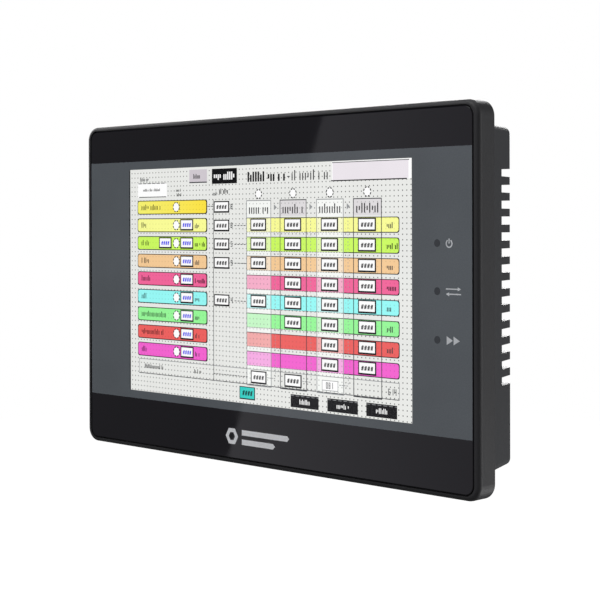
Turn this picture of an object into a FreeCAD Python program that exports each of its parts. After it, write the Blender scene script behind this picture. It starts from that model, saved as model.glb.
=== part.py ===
import FreeCAD, Part
import math
import os

# Operator panel with a 5 inch touch display, built as it comes apart on a bench.
# Millimetres. Origin at the centre of the flange's rear face, which seals on the panel.
# +X right as the operator sees it, +Y to the rear (into the cabinet), +Z up.

# Front frame
FRONT_W = 151.0
FRONT_H = 96.0
FLANGE_T = 6.0
CORNER_R = 4.0
EDGE_R = 1.2
FRONT_WALL = 3.1  # from the front plane to the back of the bezel's front wall

# Printed overlay in its recess
OVERLAY_W = 147.0
OVERLAY_H = 92.9
OVERLAY_T = 0.4
OVERLAY_R = 2.5
GROOVE = 0.35

# Display: visible window and its centre
WINDOW_W = 109.4
WINDOW_H = 65.95
SCREEN_X = -0.3
SCREEN_Z = 1.7

# Housing behind the panel
BODY_W = 142.4
BODY_H = 85.4
BODY_STRAIGHT = 5.0  # depth at which the side walls start to slant
BODY_DEPTH = 19.0
BODY_BACK_W = 132.4
BODY_R = 1.8
WALL = 2.2

# Raised box over the electronics
BOX_BASE_W = 114.0
BOX_BACK_W = 106.0
BOX_DEPTH = 30.0
BOX_TOP = 40.0
BOX_BOTTOM = -28.0
BOX_WALL = 2.0

# Connector bay: a notch in the housing below the raised box
BAY_W = 108.0
BAY_FLOOR = 7.6

# Vents on both sides
VENT_COUNT = 14
VENT_PITCH = 4.0
VENT_H = 2.05
VENT_CENTRE = 5.05
VENT_START = 11.9
VENT_INBOARD = 60.5

# Circuit board
BOARD_W = 118.0
BOARD_TOP = 38.0
BOARD_BOTTOM = -24.5
BOARD_Y = 6.5
BOARD_T = 1.6
BOARD_BACK = BOARD_Y + BOARD_T
BOARD_POSTS = ((-56.0, 34.0), (56.0, 34.0), (-56.0, -13.0), (56.0, -13.0))

# Indicator lights
LIGHT_X = 62.7
LIGHT_Z = (13.6, 1.95, -9.85)
LIGHT_R = 0.95
PIPE_R = 1.25

# Screws that hold the rear cover to the bezel
COVER_SCREWS = ((-62.6, 37.5), (62.6, 37.5), (-62.6, -37.5), (62.6, -37.5))
COVER_SPLIT = 6.0  # plane where a bezel boss meets a cover post
BOSS_R = 2.5
SCREW_R = 1.25

# Screws of the display bracket
BRACKET_SCREWS = ((-63.6, 22.0), (63.6, 22.0), (-63.6, -22.0), (63.6, -22.0))
BRACKET_POST_R = 2.2
BRACKET_T = 0.6

# Display module
LCD_W = 119.4
LCD_H = 75.8
LCD_Z = 0.6
LCD_FRONT = -2.3
LCD_BACK = 0.8
SHEET = 0.3
CELL_BACK = -0.8

# Touch panel
TOUCH_W = 118.4
TOUCH_H = 75.4
TOUCH_Z = 1.0
TOUCH_GAP = 0.3

# Serial ports
COM_X = {"com1": -38.2, "com2": -5.6}
COM_Y = 15.2
JACK_SPACING = 24.99
JACK_HOLE_R = 1.2
D_WIDTH = 16.9
D_HEIGHT = 8.4

# USB device port
USB_X = 17.4
USB_W = 12.0
USB_H = 11.0

# Two-way slide switch block
DIP_X = 28.6
DIP_W = 6.7
DIP_H = 7.8
DIP_FACE = -27.6
DIP_TRAVEL = 1.9
DIP_PITCH = 2.54

# Reset button
RESET_X = 34.4
RESET_Y = 12.1

# Power inlet: header on the board and pluggable three-pole plug
POWER_X = 45.0
POLE_PITCH = 5.08
POLES = (-1, 0, 1)
HEADER_W = 15.6
HEADER_BACK_Y = 16.9
PIN_Y = 12.5
SCREW_Z = -35.0
CAGE_TRAVEL = 2.0

X_AXIS = FreeCAD.Vector(1, 0, 0)
Y_AXIS = FreeCAD.Vector(0, 1, 0)
Z_AXIS = FreeCAD.Vector(0, 0, 1)


def box(x0, x1, y0, y1, z0, z1):
    """A block between two corners."""
    return Part.makeBox(x1 - x0, y1 - y0, z1 - z0, FreeCAD.Vector(x0, y0, z0))


def block(cx, cz, width, height, y0, y1):
    """A block centred on (cx, cz), seen from the front."""
    return box(cx - width / 2, cx + width / 2, y0, y1, cz - height / 2, cz + height / 2)


def edges_along(shape, axis):
    """The straight edges that run along an axis."""
    picked = []
    for edge in shape.Edges:
        if edge.Curve.TypeId == "Part::GeomLine" and abs(edge.tangentAt(0).dot(axis)) > 0.9999:
            picked.append(edge)
    return picked


def slab(width, height, y0, y1, radius, cx=0.0, cz=0.0):
    """A plate parallel to the front, with rounded corners."""
    plate = block(cx, cz, width, height, y0, y1)
    return plate.makeFillet(radius, edges_along(plate, Y_AXIS))


def ring(width, height, y0, y1, radius, wall, cx=0.0, cz=0.0):
    """A rounded frame of even width; wall is that width."""
    hole_r = max(radius - wall, 0.2)
    hole = slab(width - 2 * wall, height - 2 * wall, y0 - 1, y1 + 1, hole_r, cx, cz)
    return slab(width, height, y0, y1, radius, cx, cz).cut(hole)


def rod_y(x, z, radius, y0, y1):
    """A round bar along Y."""
    return Part.makeCylinder(radius, y1 - y0, FreeCAD.Vector(x, y0, z), Y_AXIS)


def rod_z(x, y, radius, z0, z1):
    """A round bar along Z."""
    return Part.makeCylinder(radius, z1 - z0, FreeCAD.Vector(x, y, z0), Z_AXIS)


def prism_z(points, z0, z1):
    """A polygon in the XY plane, raised along Z."""
    corners = [FreeCAD.Vector(x, y, z0) for x, y in points]
    face = Part.Face(Part.makePolygon(corners + corners[:1]))
    return face.extrude(FreeCAD.Vector(0, 0, z1 - z0))


def strip(path, thickness, x0, x1):
    """A bent flat strip: path holds (y, z) points of its centre line, x0 to x1 is its width."""
    offsets = []
    for index, (y, z) in enumerate(path):
        before = path[max(index - 1, 0)]
        after = path[min(index + 1, len(path) - 1)]
        first = direction(before, (y, z)) if index else direction((y, z), after)
        last = direction((y, z), after) if index < len(path) - 1 else first
        normal = (-(first[1] + last[1]), first[0] + last[0])
        scale = thickness / (normal[0] * -first[1] + normal[1] * first[0]) / 2
        offsets.append((normal[0] * scale, normal[1] * scale))
    upper = [(y + dy, z + dz) for (y, z), (dy, dz) in zip(path, offsets)]
    lower = [(y - dy, z - dz) for (y, z), (dy, dz) in zip(path, offsets)]
    corners = [FreeCAD.Vector(x0, y, z) for y, z in upper + lower[::-1]]
    face = Part.Face(Part.makePolygon(corners + corners[:1]))
    return face.extrude(FreeCAD.Vector(x1 - x0, 0, 0))


def direction(start, end):
    """Unit vector from one (y, z) point to another."""
    length = math.hypot(end[0] - start[0], end[1] - start[1])
    return ((end[0] - start[0]) / length, (end[1] - start[1]) / length)


def save(node, *solids):
    """Writes one node; several separate solids share it only where they are identical pieces."""
    shape = solids[0] if len(solids) == 1 else Part.makeCompound(list(solids))
    shape.exportStep("parts/" + node + ".step")


def screw_y(x, z, head_r, head, shank_r, tip, seat):
    """A cross-recess screw along Y: seat is the plane under the head, tip its far end."""
    sign = 1 if head > 0 else -1
    head_y = sorted((seat, seat + head))
    shank_y = sorted((seat, tip))
    body = rod_y(x, z, head_r, *head_y)
    rim = [edge for edge in body.Edges if abs(edge.CenterOfMass.y - (seat + head)) < 1e-6]
    body = body.makeFillet(abs(head) * 0.35, rim)
    body = body.fuse(rod_y(x, z, shank_r, *shank_y)).removeSplitter()
    recess_y = sorted((seat + head + sign, seat + head * 0.45))
    for width, height in ((0.55, head_r * 1.15), (head_r * 1.15, 0.55)):
        body = body.cut(block(x, z, width, height, *recess_y))
    return body


# ---------------------------------------------------------------- front frame


def front_bezel():
    """Moulded front frame: rounded rim, overlay recess, touch pocket, screen opening and lip."""
    body = slab(FRONT_W, FRONT_H, -FLANGE_T, 0, CORNER_R)
    rim = [e for e in body.Edges if abs(e.BoundBox.YMax + FLANGE_T) < 1e-6 and e.BoundBox.YLength < 1e-6]
    body = body.makeFillet(EDGE_R, rim)
    floor = -FLANGE_T + OVERLAY_T
    recess_w = OVERLAY_W + 2 * GROOVE
    recess_h = OVERLAY_H + 2 * GROOVE
    recess_r = OVERLAY_R + GROOVE
    body = body.cut(slab(recess_w, recess_h, -FLANGE_T - 1, floor, recess_r))
    body = body.cut(ring(recess_w, recess_h, floor - 0.1, floor + 0.4, recess_r, GROOVE))
    pocket_w = TOUCH_W + 2 * TOUCH_GAP
    pocket_h = TOUCH_H + 2 * TOUCH_GAP
    body = body.cut(slab(pocket_w, pocket_h, floor - 1, -4.1, 1.5, SCREEN_X, TOUCH_Z))
    opening = slab(WINDOW_W + 3.0, WINDOW_H + 3.0, -5, 1, 1.0, SCREEN_X, SCREEN_Z)
    body = body.cut(opening)
    inner_w = BODY_W - 2 * WALL - 0.4
    inner_h = BODY_H - 2 * WALL - 0.4
    body = body.fuse(slab(inner_w, inner_h, 0, 2.0, 1.5))
    pocket = slab(inner_w - 2.4, inner_h - 2.4, FRONT_WALL - FLANGE_T, 3, 1.0)
    body = body.cut(pocket)
    for x, z in COVER_SCREWS:
        body = body.fuse(rod_y(x, z, BOSS_R, FRONT_WALL - FLANGE_T - 0.2, COVER_SPLIT))
    for x, z in BRACKET_SCREWS:
        body = body.fuse(rod_y(x, z, BRACKET_POST_R, FRONT_WALL - FLANGE_T - 0.2, LCD_BACK))
    for x, z in COVER_SCREWS:
        body = body.cut(rod_y(x, z, SCREW_R, -2.0, COVER_SPLIT + 1))
    for x, z in BRACKET_SCREWS:
        body = body.cut(rod_y(x, z, 1.0, -2.6, LCD_BACK + 1))
    for z in LIGHT_Z:
        body = body.cut(rod_y(LIGHT_X, z, LIGHT_R, -6, -4))
        body = body.cut(rod_y(LIGHT_X, z, PIPE_R, -4.6, 0))
    body = body.cut(box(-44.5, -35.5, floor - 1, 0, -39.0, -36.0))
    body = body.cut(gasket_outline(-1.2, 1))
    return body.removeSplitter()


def gasket_outline(y0, y1):
    """The seal's ring in the flange's rear face."""
    return ring(148.4, 92.4, y0, y1, 3.0, 1.7)


def front_overlay():
    """Printed polyester front sheet with a bevelled edge."""
    sheet = slab(OVERLAY_W, OVERLAY_H, -FLANGE_T, -FLANGE_T + OVERLAY_T, OVERLAY_R)
    front = [e for e in sheet.Edges if abs(e.BoundBox.YMax + FLANGE_T) < 1e-6]
    return sheet.makeChamfer(0.15, front)


def touch_layers():
    """Resistive touch panel: flexible film, perimeter adhesive, glass and its four-wire tail."""
    film_y = -FLANGE_T + OVERLAY_T
    film = slab(TOUCH_W, TOUCH_H, film_y, film_y + 0.2, 1.0, SCREEN_X, TOUCH_Z)
    save("touch_film", film)
    spacer = ring(TOUCH_W, TOUCH_H, film_y + 0.2, film_y + 0.3, 1.0, 2.5, SCREEN_X, TOUCH_Z)
    save("touch_spacer", spacer)
    glass = slab(TOUCH_W, TOUCH_H, film_y + 0.3, -4.2, 1.0, SCREEN_X, TOUCH_Z)
    save("touch_glass", glass)
    edge_z = TOUCH_Z - TOUCH_H / 2
    tail_y = film_y + 0.25
    path = [(tail_y, edge_z), (tail_y, -38.3), (3.0, -38.3), (3.0, -22.0), (5.75, -16.2), (5.75, -14.0)]
    save("touch_tail", strip(path, 0.1, -44.0, -36.0))


def display_module():
    """Liquid crystal module: steel frame, cell, light guide, lamp strip, tray and ribbon."""
    frame = slab(LCD_W, LCD_H, LCD_FRONT, 0.4, 0.8, SCREEN_X, LCD_Z)
    hollow = slab(LCD_W - 2 * SHEET, LCD_H - 2 * SHEET, LCD_FRONT + SHEET, 1, 0.5, SCREEN_X, LCD_Z)
    view = slab(WINDOW_W + 1.0, WINDOW_H + 1.2, LCD_FRONT - 1, 0, 0.5, SCREEN_X, SCREEN_Z)
    ribbon_way = box(-16, 16, LCD_FRONT + SHEET, 1, -39, -36.2)
    save("lcd_frame", frame.cut(hollow).cut(view).cut(ribbon_way))
    cell = block(SCREEN_X, LCD_Z, 118.5, 73.4, LCD_FRONT + SHEET, CELL_BACK)
    save("lcd_cell", cell)
    guide = block(SCREEN_X, LCD_Z, 117.0, 71.5, CELL_BACK, LCD_BACK - SHEET)
    save("light_guide", guide)
    tray = slab(LCD_W - 2 * SHEET, LCD_H - 2 * SHEET, CELL_BACK, LCD_BACK, 0.5, SCREEN_X, LCD_Z)
    inside_w = LCD_W - 4 * SHEET
    inside_h = LCD_H - 4 * SHEET
    inside = slab(inside_w, inside_h, CELL_BACK - 1, LCD_BACK - SHEET, 0.3, SCREEN_X, LCD_Z)
    save("lcd_tray", tray.cut(inside))
    strip_board = box(-52, 52, -0.7, 0.4, -36.6, -36.2)
    lamps = [box(x - 1.5, x + 1.5, -0.5, 0.3, -36.2, -35.4) for x in range(-48, 49, 12)]
    save("backlight_strip", strip_board.multiFuse(lamps).removeSplitter())
    cell_edge = LCD_Z - 36.7
    path = [(-1.4, cell_edge), (-1.4, -38.4), (2.1, -38.4), (2.1, -17.0), (5.75, -10.4), (5.75, -8.0)]
    save("lcd_ribbon", strip(path, 0.2, -14.0, 14.0))
    seal = slab(119.5, 75.0, FRONT_WALL - FLANGE_T, LCD_FRONT, 1.0, SCREEN_X, LCD_Z)
    seal = seal.cut(slab(WINDOW_W + 3.0, WINDOW_H + 3.0, -4, 0, 1.0, SCREEN_X, SCREEN_Z))
    save("screen_seal", seal)


def display_bracket():
    """Pressed steel bracket that clamps the display module into the bezel."""
    plate = slab(122.0, 69.0, LCD_BACK, LCD_BACK + BRACKET_T, 2.0)
    for z in (-22.0, 22.0):
        plate = plate.fuse(slab(132.0, 6.4, LCD_BACK, LCD_BACK + BRACKET_T, 2.0, 0, z))
    for x in (-30.0, 30.0):
        plate = plate.cut(slab(44.0, 40.0, 0, 3, 4.0, x, 4.0))
    for x, z in BRACKET_SCREWS:
        plate = plate.cut(rod_y(x, z, 1.2, 0, 3))
    save("lcd_bracket", plate.removeSplitter())
    seat = LCD_BACK + BRACKET_T
    save("bracket_screws", *[screw_y(x, z, 2.0, 1.2, 1.0, -2.5, seat) for x, z in BRACKET_SCREWS])


def light_pipes():
    """Clear pins that carry the indicator lights to the front."""
    pipes = []
    for z in LIGHT_Z:
        pin = rod_y(LIGHT_X, z, LIGHT_R, -FLANGE_T + OVERLAY_T, -4.6)
        pipes.append(pin.fuse(rod_y(LIGHT_X, z, PIPE_R, -4.6, 5.6)).removeSplitter())
    save("light_pipes", *pipes)


# ---------------------------------------------------------------- electronics


def mainboard():
    """Main circuit board with an ear that carries the indicator lights."""
    height = BOARD_TOP - BOARD_BOTTOM
    middle = (BOARD_TOP + BOARD_BOTTOM) / 2
    board = slab(BOARD_W, height, BOARD_Y, BOARD_BACK, 2.0, 0, middle)
    ear = slab(20.0, 34.0, BOARD_Y, BOARD_BACK, 1.5, 55.5, 1.9)
    board = board.fuse(ear)
    for x, z in BOARD_POSTS:
        board = board.cut(rod_y(x, z, 1.3, 0, 20))
    return board.removeSplitter()


def board_parts():
    """Packages on the board; the tall ones stand in the raised box."""
    back = BOARD_BACK
    save("processor", chip(-5.0, 14.0, 20.0, 20.0, 1.7))
    save("memory_chips", chip(13.0, 9.0, 8.2, 12.6, 1.2), chip(13.0, 23.0, 8.2, 12.6, 1.2))
    transceivers = [chip(x, -8.0, 5.0, 4.0, 1.6) for x in (-42.0, -34.0, -12.0, -4.0)]
    save("interface_chips", *transceivers)
    save("power_inductors", inductor(30.0, 2.0), inductor(44.0, 2.0))
    save("capacitors", *[capacitor(x, 18.0) for x in (28.0, 38.0, 48.0)])
    sounder = rod_y(-44.0, 26.0, 6.0, back, back + 6.5)
    save("buzzer", sounder.cut(rod_y(-44.0, 26.0, 1.0, back + 4, back + 7)))
    holder = slab(23.0, 23.0, back, back + 4.6, 3.0, -38.0, 7.0)
    well = rod_y(-38.0, 7.0, 10.1, back + 1.0, back + 5)
    thumb = box(-42.0, -34.0, back + 1.0, back + 5, -6.0, 0.0)
    save("coin_cell_holder", holder.cut(well).cut(thumb))
    save("coin_cell", rod_y(-38.0, 7.0, 10.0, back + 1.0, back + 4.2))
    can = slab(11.0, 4.6, back, back + 3.5, 2.2, -20.0, 28.0)
    save("clock_crystal", can)
    save("display_socket", block(0.0, -5.6, 32.0, 4.8, 5.85, BOARD_Y))
    save("touch_socket", block(-40.0, -11.6, 11.0, 4.8, 5.8, BOARD_Y))
    save("indicator_leds", *[block(LIGHT_X, z, 1.6, 0.8, 5.9, BOARD_Y) for z in LIGHT_Z])
    heads = [screw_y(x, z, 2.2, -1.5, 1.1, 15.0, BOARD_Y) for x, z in BOARD_POSTS]
    save("board_screws", *heads)


def chip(cx, cz, width, height, thick):
    """A moulded package with a pin-one dimple."""
    body = block(cx, cz, width, height, BOARD_BACK, BOARD_BACK + thick)
    corner = (cx - width / 2 + 1.0, cz + height / 2 - 1.0)
    return body.cut(rod_y(corner[0], corner[1], 0.4, BOARD_BACK + thick - 0.1, BOARD_BACK + thick + 1))


def inductor(cx, cz):
    """A shielded power inductor: square base and round core."""
    base = slab(12.0, 12.0, BOARD_BACK, BOARD_BACK + 1.2, 1.5, cx, cz)
    core = rod_y(cx, cz, 5.6, BOARD_BACK + 1.2, BOARD_BACK + 6.0)
    return base.fuse(core).removeSplitter()


def capacitor(cx, cz):
    """An electrolytic capacitor: base plate, can and its crimp."""
    base = slab(8.3, 8.3, BOARD_BACK, BOARD_BACK + 1.0, 0.8, cx, cz)
    can = rod_y(cx, cz, 4.0, BOARD_BACK + 1.0, BOARD_BACK + 10.0)
    crimp = Part.makeTorus(4.2, 0.5, FreeCAD.Vector(cx, BOARD_BACK + 2.6, cz), Y_AXIS)
    return base.fuse(can.cut(crimp)).removeSplitter()


# ---------------------------------------------------------------- serial ports


def d_prism(cx, width, height, z0, z1, radius):
    """The keyed outline of a D connector, raised along Z; its wide row is to the rear."""
    slant = height * math.tan(math.radians(10))
    half = width / 2
    points = [
        (cx - half, COM_Y + height / 2),
        (cx + half, COM_Y + height / 2),
        (cx + half - slant, COM_Y - height / 2),
        (cx - half + slant, COM_Y - height / 2),
    ]
    body = prism_z(points, z0, z1)
    return body.makeFillet(radius, edges_along(body, Z_AXIS))


def contact_places(cx):
    """Places of the nine contacts: five in the wide row, four in the other."""
    wide = [(cx + 2.77 * (n - 2), COM_Y + 1.42) for n in range(5)]
    narrow = [(cx + 2.77 * (n - 1.5), COM_Y - 1.42) for n in range(4)]
    return wide + narrow


def serial_port(name, cx):
    """Nine-way D socket on the board, held to the housing by two hexagonal screw locks."""
    flange = box(cx - 15.4, cx + 15.4, COM_Y - 6.25, COM_Y + 6.25, BOX_BOTTOM + 2, BOX_BOTTOM + 2.8)
    flange = flange.makeFillet(2.0, edges_along(flange, Z_AXIS))
    shell = flange.fuse(d_prism(cx, D_WIDTH, D_HEIGHT, BOX_BOTTOM - 4.0, BOX_BOTTOM + 2.4, 2.4))
    shell = shell.cut(d_prism(cx, D_WIDTH - 0.8, D_HEIGHT - 0.8, -40, -20, 2.0))
    for side in (-1, 1):
        shell = shell.cut(rod_z(cx + side * JACK_SPACING / 2, COM_Y, 1.5, -40, -20))
    save(name + "_shell", shell.removeSplitter())
    insert = d_prism(cx, D_WIDTH - 0.8, D_HEIGHT - 0.8, BOX_BOTTOM - 3.7, BOX_BOTTOM + 2.8, 2.0)
    rear = box(cx - 9.6, cx + 9.6, BOARD_BACK, COM_Y + 5.4, BOX_BOTTOM + 2.8, BOX_BOTTOM + 11.0)
    insert = insert.fuse(rear)
    for x, y in contact_places(cx):
        insert = insert.cut(rod_z(x, y, 0.55, BOX_BOTTOM - 5, BOX_BOTTOM + 2))
    save(name + "_insulator", insert.removeSplitter())
    save(name + "_contacts", *[contact(x, y) for x, y in contact_places(cx)])
    locks = [screw_lock(cx + side * JACK_SPACING / 2) for side in (-1, 1)]
    save(name + "_screwlocks", *locks)


def contact(x, y):
    """A right-angle contact tail, from the insulator's back down to the board."""
    back = BOX_BOTTOM + 11.0
    reach = back + 1.2 + (y - BOARD_BACK) * 0.35
    across = box(x - 0.3, x + 0.3, y - 0.3, y + 0.3, back, reach)
    down = box(x - 0.3, x + 0.3, BOARD_BACK, y + 0.3, reach - 0.6, reach)
    return across.fuse(down).removeSplitter()


def screw_lock(x):
    """A hexagonal jack post: outside hexagon, inside stud, threaded hole from below."""
    radius = 4.75 / math.sqrt(3)
    corners = []
    for step in range(6):
        turn = math.radians(60 * step)
        corners.append((x + radius * math.cos(turn), COM_Y + radius * math.sin(turn)))
    post = prism_z(corners, BOX_BOTTOM - 5.0, BOX_BOTTOM)
    post = post.fuse(rod_z(x, COM_Y, 1.4, BOX_BOTTOM, BOX_BOTTOM + 5.0))
    return post.cut(rod_z(x, COM_Y, JACK_HOLE_R, BOX_BOTTOM - 6, BOX_BOTTOM - 0.4))


# ---------------------------------------------------------------- other ports


def usb_port():
    """Square USB device socket: steel shell, and an insert with the tongue."""
    half = USB_W / 2
    mouth = BOX_BOTTOM - 1.0
    shell = box(USB_X - half, USB_X + half, BOARD_BACK, BOARD_BACK + USB_H, mouth, mouth + 16.0)
    shell = shell.makeFillet(0.6, edges_along(shell, Z_AXIS))
    inner = box(
        USB_X - half + 0.4, USB_X + half - 0.4, BOARD_BACK + 0.4, BOARD_BACK + USB_H - 0.4, mouth - 1, mouth + 15.6
    )
    save("usb_shell", shell.cut(inner))
    cy = BOARD_BACK + USB_H / 2
    filling = box(
        USB_X - half + 0.4, USB_X + half - 0.4, BOARD_BACK + 0.4, BOARD_BACK + USB_H - 0.4, mouth + 0.3, mouth + 15.6
    )
    cavity = box(USB_X - 4.23, USB_X + 4.23, cy - 3.89, cy + 3.89, mouth - 1, mouth + 9.2)
    bevels = [e for e in edges_along(cavity, Z_AXIS) if e.CenterOfMass.y > cy]
    cavity = cavity.makeChamfer(1.6, bevels)
    tongue = box(USB_X - 2.8, USB_X + 2.8, cy - 1.6, cy + 1.6, mouth + 1.0, mouth + 9.4)
    save("usb_insert", filling.cut(cavity).fuse(tongue).removeSplitter())


def dip_places():
    """Centres of the two levers along X."""
    return [DIP_X - DIP_PITCH / 2, DIP_X + DIP_PITCH / 2]


def dip_switch():
    """Two-way slide switch: body with guide slots, and one lever in each."""
    back = BOARD_BACK
    body = box(DIP_X - DIP_W / 2, DIP_X + DIP_W / 2, back, back + DIP_H, DIP_FACE, DIP_FACE + 6.0)
    slot_low = back + 2.2
    slot_high = slot_low + 1.2 + DIP_TRAVEL + 0.1
    for index, x in enumerate(dip_places()):
        body = body.cut(box(x - 0.65, x + 0.65, slot_low, slot_high, DIP_FACE - 1, DIP_FACE + 1.4))
        lever = box(x - 0.58, x + 0.58, slot_low + 0.05, slot_low + 1.25, DIP_FACE - 1.1, DIP_FACE + 1.3)
        save("dip_lever_%d" % (index + 1), lever.makeChamfer(0.15, lever.Edges[:4]))
    save("dip_body", body)


def reset_switch():
    """Tact switch on the board and its recessed button."""
    face = BOX_BOTTOM + 2.4
    body = box(RESET_X - 2.2, RESET_X + 2.2, BOARD_BACK, RESET_Y + 2.2, face, face + 4.0)
    body = body.cut(rod_z(RESET_X, RESET_Y, 1.35, face - 1, face + 1.5))
    save("reset_switch", body)
    button = rod_z(RESET_X, RESET_Y, 1.25, BOX_BOTTOM + 0.6, face + 0.7)
    save("reset_button", button.makeChamfer(0.2, [button.Edges[2]]))


def pole_places():
    """Centres of the three poles along X."""
    return [POWER_X + POLE_PITCH * step for step in POLES]


def power_header():
    """Shrouded header with three right-angle pins."""
    half = HEADER_W / 2
    shroud = box(POWER_X - half, POWER_X + half, BOARD_BACK, HEADER_BACK_Y, BOX_BOTTOM, BOX_BOTTOM + 11.5)
    hollow = box(POWER_X - 7.1, POWER_X + 7.1, PIN_Y - 3.6, PIN_Y + 3.6, BOX_BOTTOM - 1, BOX_BOTTOM + 9.0)
    shroud = shroud.cut(hollow)
    pins = []
    for x in pole_places():
        across = box(x - 0.5, x + 0.5, PIN_Y - 0.5, PIN_Y + 0.5, BOX_BOTTOM + 1.5, BOX_BOTTOM + 13.0)
        down = box(x - 0.5, x + 0.5, BOARD_BACK, PIN_Y + 0.5, BOX_BOTTOM + 12.0, BOX_BOTTOM + 13.0)
        pins.append(across.fuse(down).removeSplitter())
        shroud = shroud.cut(across)
    save("power_header", shroud)
    save("power_pins", *pins)


def power_plug():
    """Pluggable block: housing, contacts, and a screw with a rising cage at each pole."""
    half = HEADER_W / 2
    top = BOX_BOTTOM - 0.4
    bottom = top - 11.1
    back = 22.8
    body = box(POWER_X - half, POWER_X + half, 9.8, back, bottom, top)
    body = body.makeChamfer(1.2, [e for e in edges_along(body, X_AXIS) if e.CenterOfMass.y > 20])
    nose = box(POWER_X - 6.9, POWER_X + 6.9, PIN_Y - 3.4, PIN_Y + 3.4, top - 0.5, top + 8.9)
    body = body.fuse(nose)
    for index, x in enumerate(pole_places()):
        body = body.cut(box(x - 2.0, x + 2.0, 10.8, 18.8, SCREW_Z - 2.4, SCREW_Z + 2.4))
        body = body.cut(rod_y(x, SCREW_Z, 1.4, 18, 20))
        body = body.cut(rod_y(x, SCREW_Z, 1.85, 19.5, back + 1))
        body = body.cut(box(x - 1.45, x + 1.45, 11.4, 14.5, bottom - 1, SCREW_Z))
        body = body.cut(box(x - 0.8, x + 0.8, PIN_Y - 0.8, 14.9, SCREW_Z, top + 10))
        body = body.cut(box(x - 1.1, x + 1.1, 14.5, 14.9, SCREW_Z - 3.0, SCREW_Z + 3.6))
        save("clamp_screw_%d" % (index + 1), clamp_screw(x))
        save("wire_cage_%d" % (index + 1), wire_cage(x))
    save("power_plug", body.removeSplitter())
    save("plug_contacts", *[plug_contact(x, top) for x in pole_places()])


def clamp_screw(x):
    """Slotted clamping screw, free to turn above the ledge that holds its head."""
    screw = rod_y(x, SCREW_Z, 1.7, 19.6, 21.3).fuse(rod_y(x, SCREW_Z, 1.25, 15.0, 19.6))
    screw = screw.removeSplitter()
    return screw.cut(block(x, SCREW_Z, 0.6, 4.0, 20.5, 22))


def wire_cage(x):
    """Brass frame that the screw draws up; the wire lies in its window."""
    frame = block(x, SCREW_Z, 3.8, 4.6, 11.0, 16.4)
    frame = frame.cut(block(x, SCREW_Z, 2.6, 6.0, 11.8, 15.3))
    return frame.cut(rod_y(x, SCREW_Z, 1.3, 15, 17))


def plug_contact(x, top):
    """Tinned contact: the clamping tongue through the cage, stepped to the pin in the nose."""
    tongue = box(x - 1.1, x + 1.1, 14.5, 14.9, SCREW_Z - 3.0, SCREW_Z + 3.6)
    step = box(x - 0.5, x + 0.5, 13.1, 14.9, SCREW_Z + 3.2, SCREW_Z + 3.6)
    spring = box(x - 0.5, x + 0.5, 13.1, 13.5, SCREW_Z + 3.2, top + 8.4)
    return tongue.fuse([step, spring]).removeSplitter()


# ---------------------------------------------------------------- rear cover


def tapered(front_w, back_w, y0, straight, y1, z0, z1):
    """A block whose side walls run straight, then slant in towards the back."""
    points = [(-front_w / 2, y0), (front_w / 2, y0)]
    if straight > y0:
        points.append((front_w / 2, straight))
    points += [(back_w / 2, y1), (-back_w / 2, y1)]
    if straight > y0:
        points.append((-front_w / 2, straight))
    return prism_z(points, z0, z1)


def back_edges(shape, depth):
    """The edges that bound the face at a given depth."""
    return [e for e in shape.Edges if abs(e.BoundBox.YMin - depth) < 1e-4 and e.BoundBox.YLength < 1e-4]


def corner_edges(shape, above):
    """The edges that run towards the back along a block's corners, where they lie above a height."""
    corners = [e for e in shape.Edges if e.BoundBox.YLength > 1 and e.BoundBox.ZLength < 1e-4]
    return [e for e in corners if e.BoundBox.ZMin > above]


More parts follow.
